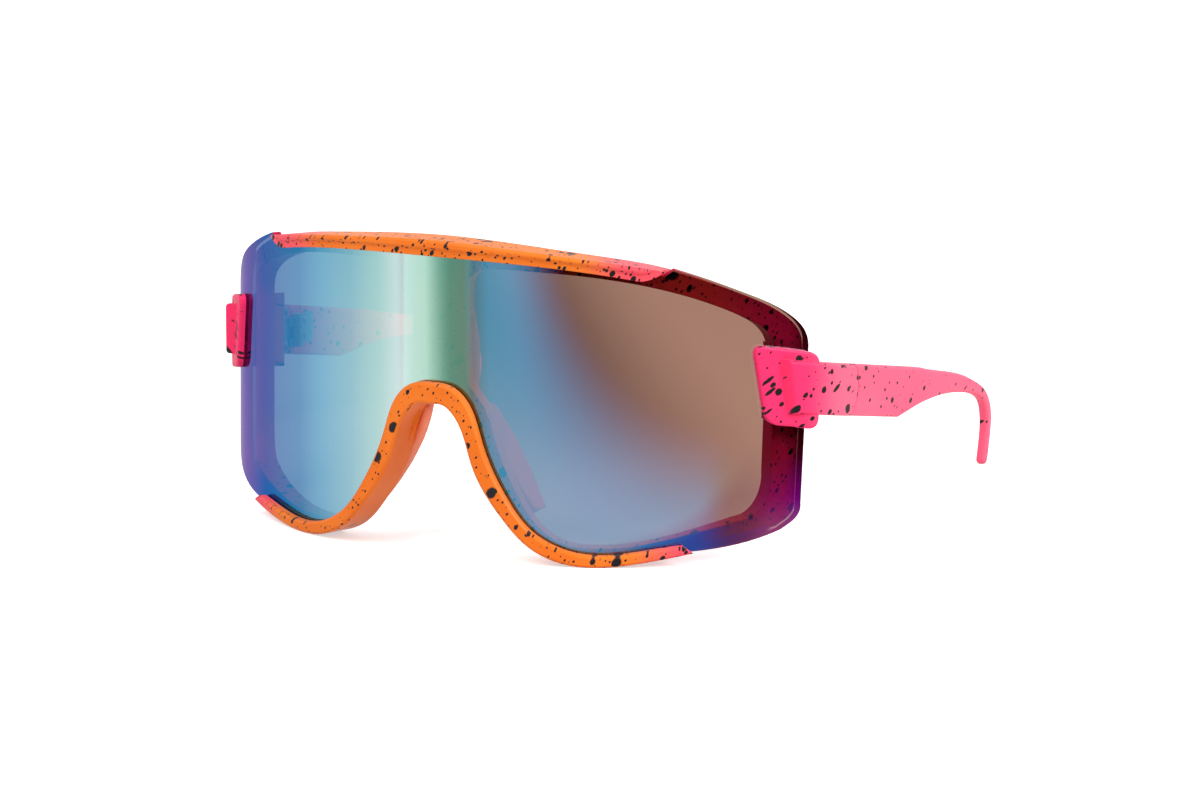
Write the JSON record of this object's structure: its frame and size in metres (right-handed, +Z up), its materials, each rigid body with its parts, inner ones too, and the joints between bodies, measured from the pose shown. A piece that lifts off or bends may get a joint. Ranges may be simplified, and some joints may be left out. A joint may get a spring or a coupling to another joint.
{
  "type": "shield sunglasses",
  "caption": "Wraparound shield sunglasses: mirrored cylindrical lens on a moulded frame with brow and nose lips, soft nose pads, clasping endpieces and folding hooked temples.",
  "frame": {"origin": "middle of the underside of the overall bounding box, on the flat ground that the lower rims and the temple tips rest on, with the temples open", "axes": "+X to the wearer's left, +Y from the lens back along the open temples, +Z up"},
  "size_m": [0.1484, 0.1562, 0.069],
  "materials": {
    "frame_orange": "satin moulded plastic, orange fading to neon pink at the lip ends, black speckle",
    "lens_mirror": "polished tinted plastic with a blue mirror coat, partly see-through",
    "pad_rubber": "matt salmon rubber",
    "endpiece_pink": "satin neon pink plastic with black speckle",
    "temple_pink": "satin light neon pink plastic with black speckle",
    "hinge_steel": "brushed stainless steel"
  },
  "bodies": {
    "front": {"front_frame": "frame_orange", "shield_lens": "lens_mirror", "left_nose_pad": "pad_rubber", "right_nose_pad": "pad_rubber", "left_endpiece": "endpiece_pink", "right_endpiece": "endpiece_pink", "left_endpiece_screws": "hinge_steel", "right_endpiece_screws": "hinge_steel", "left_front_hinge_leaf": "hinge_steel", "right_front_hinge_leaf": "hinge_steel", "left_front_leaf_screws": "hinge_steel", "right_front_leaf_screws": "hinge_steel", "left_hinge_screw": "hinge_steel", "right_hinge_screw": "hinge_steel"},
    "left_temple_arm": {"left_temple": "temple_pink", "left_temple_hinge_leaf": "hinge_steel", "left_temple_leaf_screws": "hinge_steel"},
    "right_temple_arm": {"right_temple": "temple_pink", "right_temple_hinge_leaf": "hinge_steel", "right_temple_leaf_screws": "hinge_steel"}
  },
  "joints": [
    {"name": "left_temple_fold", "type": "hinge", "parent": "front", "child": "left_temple_arm", "pos_m": [0.06867, -0.01732, 0.03353], "axis": [0, 0, 1], "range_deg": [0, 95]},
    {"name": "right_temple_fold", "type": "hinge", "parent": "front", "child": "right_temple_arm", "pos_m": [-0.06867, -0.01732, 0.03353], "axis": [0, 0, -1], "range_deg": [0, 85]}
  ]
}
